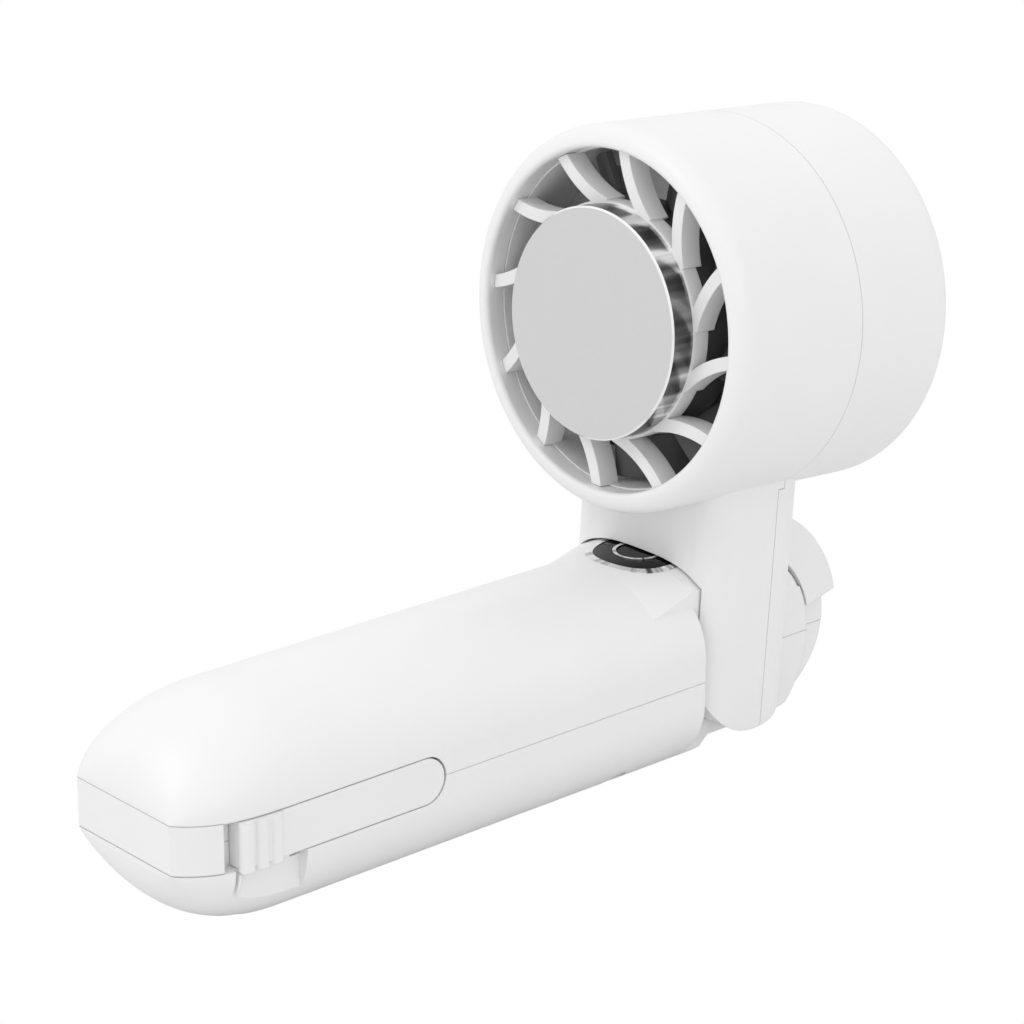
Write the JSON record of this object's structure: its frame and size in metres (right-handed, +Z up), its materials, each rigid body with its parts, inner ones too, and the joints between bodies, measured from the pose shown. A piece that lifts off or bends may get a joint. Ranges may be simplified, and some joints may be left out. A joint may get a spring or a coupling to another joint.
{
  "type": "handheld electric fan",
  "caption": "Folding handheld fan: round ducted head with a cooling plate, on a neck that hinges on an oval battery handle.",
  "frame": {"origin": "on the flat of the handle's back, 62 mm along the handle from the hinge axis", "axes": "+Z up out of the handle's back, +Y along the handle from the butt to the hinge, +X along the hinge axis"},
  "size_m": [0.064, 0.1493, 0.1101],
  "materials": {
    "white_shell": "fine matt moulded, warm white",
    "white_inner": "moulded white",
    "satin_aluminium": "bead-blasted face, turned and polished rim",
    "chrome_trim": "polished",
    "black_gloss": "polished black",
    "grey_rotor": "dark grey moulded",
    "steel": "plain steel",
    "heat_sink_metal": "as machined",
    "ceramic": "white ceramic",
    "thermal_pad_grey": "soft grey pad",
    "board_green": "solder mask",
    "copper": "enamelled wire",
    "magnet_dark": "bonded magnet",
    "battery_wrap": "shrink wrap",
    "dark_plastic": "dark moulded",
    "washer_pom": "low-friction plastic",
    "display_red": "small lamp block"
  },
  "bodies": {
    "handle": {"handle_top_shell": "white_shell", "handle_bottom_shell": "white_shell", "handle_screws": "steel", "butt_band": "white_shell", "control_window": "black_gloss", "window_trim": "chrome_trim", "button_ring": "chrome_trim", "main_pcb": "board_green", "led_display": "display_red", "tactile_switch": "dark_plastic", "battery_cell": "battery_wrap", "battery_cradle": "dark_plastic", "usb_c_port": "steel", "charge_board": "board_green", "hinge_pin": "steel", "friction_washers": "washer_pom", "clip_pin": "steel"},
    "head": {"head_front_shell": "white_shell", "head_rear_shell": "white_shell", "hinge_guard": "white_inner", "duct_liner": "white_inner", "stator_vane_ring": "white_inner", "motor_cup": "dark_plastic", "cooling_plate": "satin_aluminium", "thermal_pad": "thermal_pad_grey", "peltier_module": "ceramic", "heat_sink": "heat_sink_metal", "rear_grille": "white_inner", "motor_board": "board_green", "motor_stator": "steel", "motor_windings": "copper", "motor_bearings": "steel"},
    "rotor": {"impeller": "grey_rotor", "rotor_yoke": "steel", "magnet_ring": "magnet_dark", "motor_shaft": "steel"},
    "button": {"power_button": "black_gloss"},
    "clip": {"side_clip": "white_shell"}
  },
  "joints": [
    {"name": "head_fold", "type": "hinge", "parent": "handle", "child": "head", "pos_m": [0, 0.062, 0.0183], "axis": [-1, 0, 0], "range_deg": [0, 86.2]},
    {"name": "rotor_spin", "type": "hinge", "parent": "head", "child": "rotor", "pos_m": [0, 0.06581, 0.07678], "axis": [0, 0.9979, -0.0651], "continuous": true},
    {"name": "power_press", "type": "slide", "parent": "handle", "child": "button", "axis": [0, 0, -1], "range_m": [0, 0.0006], "stiffness_N_per_m": 15},
    {"name": "clip_swing", "type": "hinge", "parent": "handle", "child": "clip", "pos_m": [0.0161, -0.011, 0.0183], "axis": [0, 0, 1], "range_deg": [0, 30]}
  ]
}
